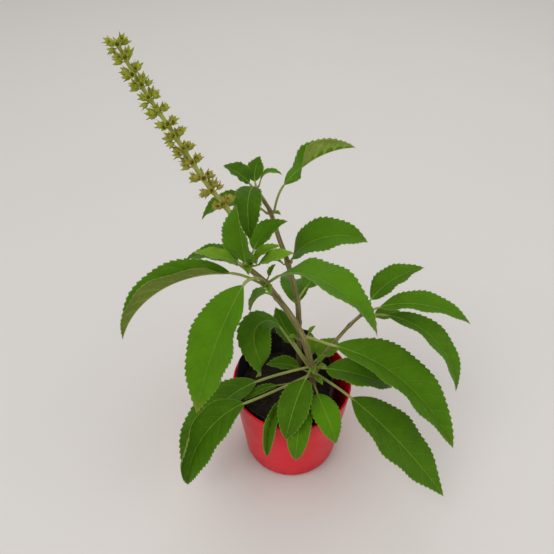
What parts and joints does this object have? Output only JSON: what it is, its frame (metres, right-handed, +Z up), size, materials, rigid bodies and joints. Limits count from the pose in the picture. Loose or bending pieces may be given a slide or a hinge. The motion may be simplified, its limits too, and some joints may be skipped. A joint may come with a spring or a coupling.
{
  "type": "potted herb",
  "caption": "Bushy culinary herb with serrated leaves and one leaning flower spike, growing in a nursery bag of soil inside a round plastic pot.",
  "frame": {"origin": "centre of the pot's flat underside, on the surface the pot stands on", "axes": "+Z up through the pot, +X the plant's right as seen from its front, -Y towards the front"},
  "size_m": [0.2856, 0.1961, 0.4012],
  "materials": {
    "pot_plastic": "smooth, satin",
    "bag_film": "thin crinkled film",
    "soil": "dark crumbly potting soil",
    "stem": "ribbed, finely hairy",
    "spike_stalk": "green, finely hairy",
    "calyx": "dull, papery",
    "leaf": "satin with sunken veins",
    "young_leaf": "satin, soft"
  },
  "bodies": {
    "root": {"pot": "pot_plastic", "nursery_bag": "bag_film", "soil": "soil", "stem_main": "stem", "stem_rear": "stem", "stem_right": "stem", "spike_stalk": "spike_stalk", "whorl_01": "calyx", "whorl_02": "calyx", "whorl_03": "calyx", "whorl_04": "calyx", "whorl_05": "calyx", "whorl_06": "calyx", "whorl_07": "calyx", "whorl_08": "calyx", "whorl_09": "calyx", "whorl_10": "calyx", "whorl_11": "calyx", "whorl_12": "calyx", "whorl_13": "calyx", "leaf_crown_upright": "leaf", "leaf_crown_left_young": "young_leaf", "leaf_crown_left_long": "leaf", "leaf_crown_left_rear": "leaf", "leaf_crown_front_left": "leaf", "leaf_crown_right_rear": "leaf", "leaf_crown_right_young": "young_leaf", "leaf_crown_front_right": "leaf", "leaf_crown_inner": "leaf", "leaf_main_right_broad": "leaf", "leaf_main_left_arched": "leaf", "leaf_main_left_inner": "leaf", "leaf_low_left_narrow": "leaf", "leaf_low_left_rear": "leaf", "leaf_low_left_front": "leaf", "leaf_low_front": "leaf", "leaf_low_front_under": "leaf", "leaf_low_front_folded": "leaf", "leaf_low_right_front": "leaf", "leaf_low_right": "leaf", "leaf_low_right_small": "leaf", "leaf_low_rear_left": "leaf", "leaf_low_rear_right": "young_leaf", "leaf_low_rear_upright": "young_leaf", "leaf_rear_right": "leaf", "leaf_top_hanging": "leaf", "leaf_top_left": "leaf", "leaf_top_upright": "leaf", "leaf_top_curled": "leaf", "leaf_rear_top_right": "leaf", "leaf_rear_top_left": "leaf", "leaf_rear_back_low": "leaf", "leaf_rear_back_high": "leaf", "leaf_right_up": "leaf", "leaf_right_out": "leaf", "leaf_right_down": "leaf", "leaf_right_under": "leaf", "leaf_right_small": "young_leaf"}
  },
  "joints": []
}
